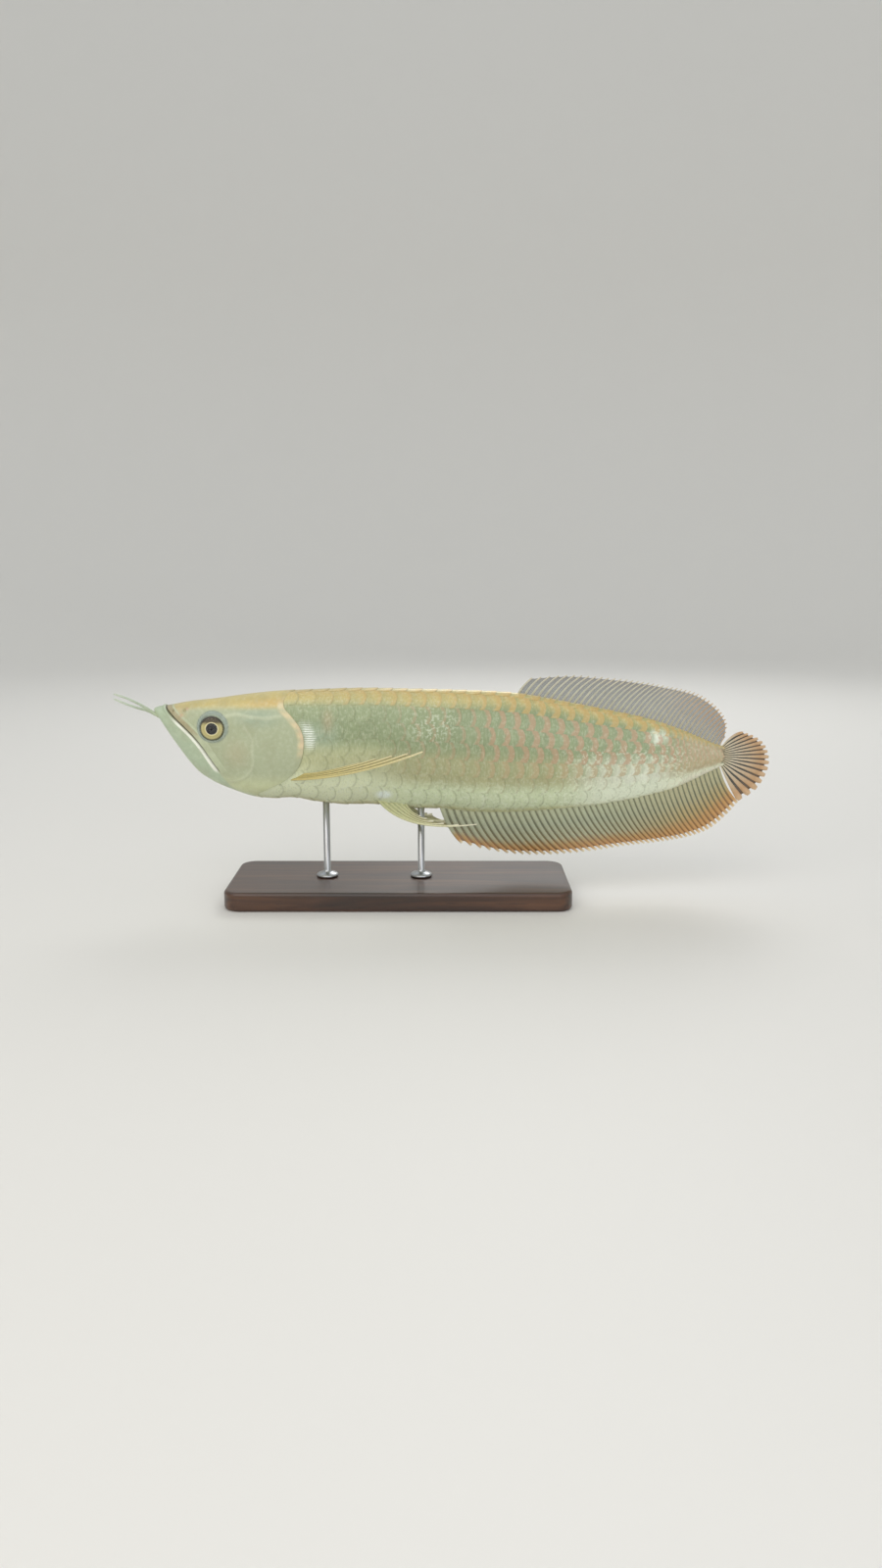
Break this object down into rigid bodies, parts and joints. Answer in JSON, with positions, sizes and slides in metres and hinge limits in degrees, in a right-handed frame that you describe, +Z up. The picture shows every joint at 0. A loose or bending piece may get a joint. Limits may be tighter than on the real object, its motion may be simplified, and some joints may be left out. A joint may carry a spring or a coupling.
{
  "type": "silver arowana fish display model",
  "caption": "Life-size long-bodied freshwater fish with an upturned mouth, chin barbels, large scales and long fringing fins, held level by two rods on a flat base.",
  "frame": {"origin": "centre of the flat underside of the stand's base", "axes": "+Z up, +X from the fish's head towards its tail, +Y towards the fish's right side"},
  "size_m": [0.4844, 0.1036, 0.164],
  "materials": {
    "skin": "wet-looking pearly scales",
    "fin": "satin fin membrane",
    "barbel": "satin",
    "eye": "polished",
    "stand_wood": "satin dark stain",
    "stand_steel": "brushed"
  },
  "bodies": {
    "root": {"head": "skin", "lower_jaw": "skin", "trunk": "skin", "tail": "skin", "dorsal_fin": "fin", "anal_fin": "fin", "caudal_fin": "fin", "pectoral_fin_left": "fin", "pectoral_fin_right": "fin", "pelvic_fin_left": "fin", "pelvic_fin_right": "fin", "barbel_left": "barbel", "barbel_right": "barbel", "eye_left": "eye", "eye_right": "eye", "stand_base": "stand_wood", "stand_rod_front": "stand_steel", "stand_rod_rear": "stand_steel"}
  },
  "joints": []
}
